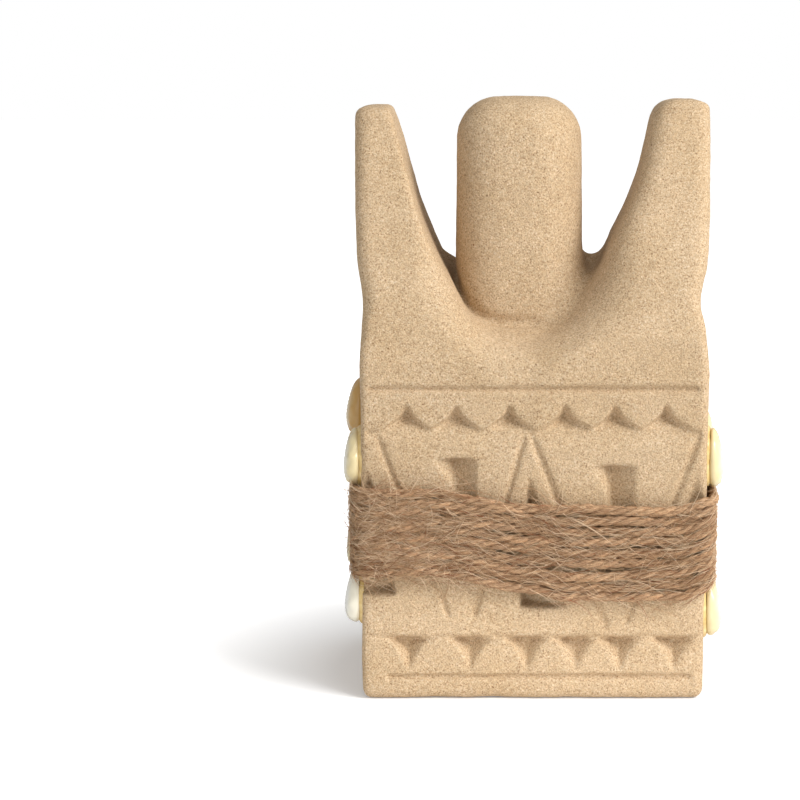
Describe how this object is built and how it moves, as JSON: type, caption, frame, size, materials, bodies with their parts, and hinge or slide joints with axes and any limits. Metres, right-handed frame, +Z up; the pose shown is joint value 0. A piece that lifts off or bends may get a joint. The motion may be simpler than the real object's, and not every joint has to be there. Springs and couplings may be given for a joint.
{
  "type": "tiki figure",
  "caption": "Abstract carved sandstone totem with two horns and a rounded post, bound at the waist with jute twine and set with cowrie shells on both sides; stands on its flat base.",
  "frame": {"origin": "middle of the flat base", "axes": "+Z up through the post and horns, -Y out of the carved front, +X to the right seen from the front"},
  "size_m": [0.0951, 0.0694, 0.1466],
  "materials": {
    "sandstone": "matte",
    "jute": "matte",
    "shell": "gloss",
    "glue": "gloss"
  },
  "bodies": {
    "root": {"stone_body": "sandstone", "twine_wrap": "jute", "cowrie_left_upper_front": "shell", "cowrie_left_upper_middle": "shell", "cowrie_left_upper_back": "shell", "cowrie_left_lower_front": "shell", "cowrie_left_lower_middle": "shell", "cowrie_left_lower_back": "shell", "cowrie_right_upper_front": "shell", "cowrie_right_upper_middle": "shell", "cowrie_right_upper_back": "shell", "cowrie_right_lower_front": "shell", "cowrie_right_lower_middle": "shell", "cowrie_right_lower_back": "shell", "glue_left_upper_front": "glue", "glue_left_upper_middle": "glue", "glue_left_upper_back": "glue", "glue_left_lower_front": "glue", "glue_left_lower_middle": "glue", "glue_left_lower_back": "glue", "glue_right_upper_front": "glue", "glue_right_upper_middle": "glue", "glue_right_upper_back": "glue", "glue_right_lower_front": "glue", "glue_right_lower_middle": "glue", "glue_right_lower_back": "glue"}
  },
  "joints": []
}
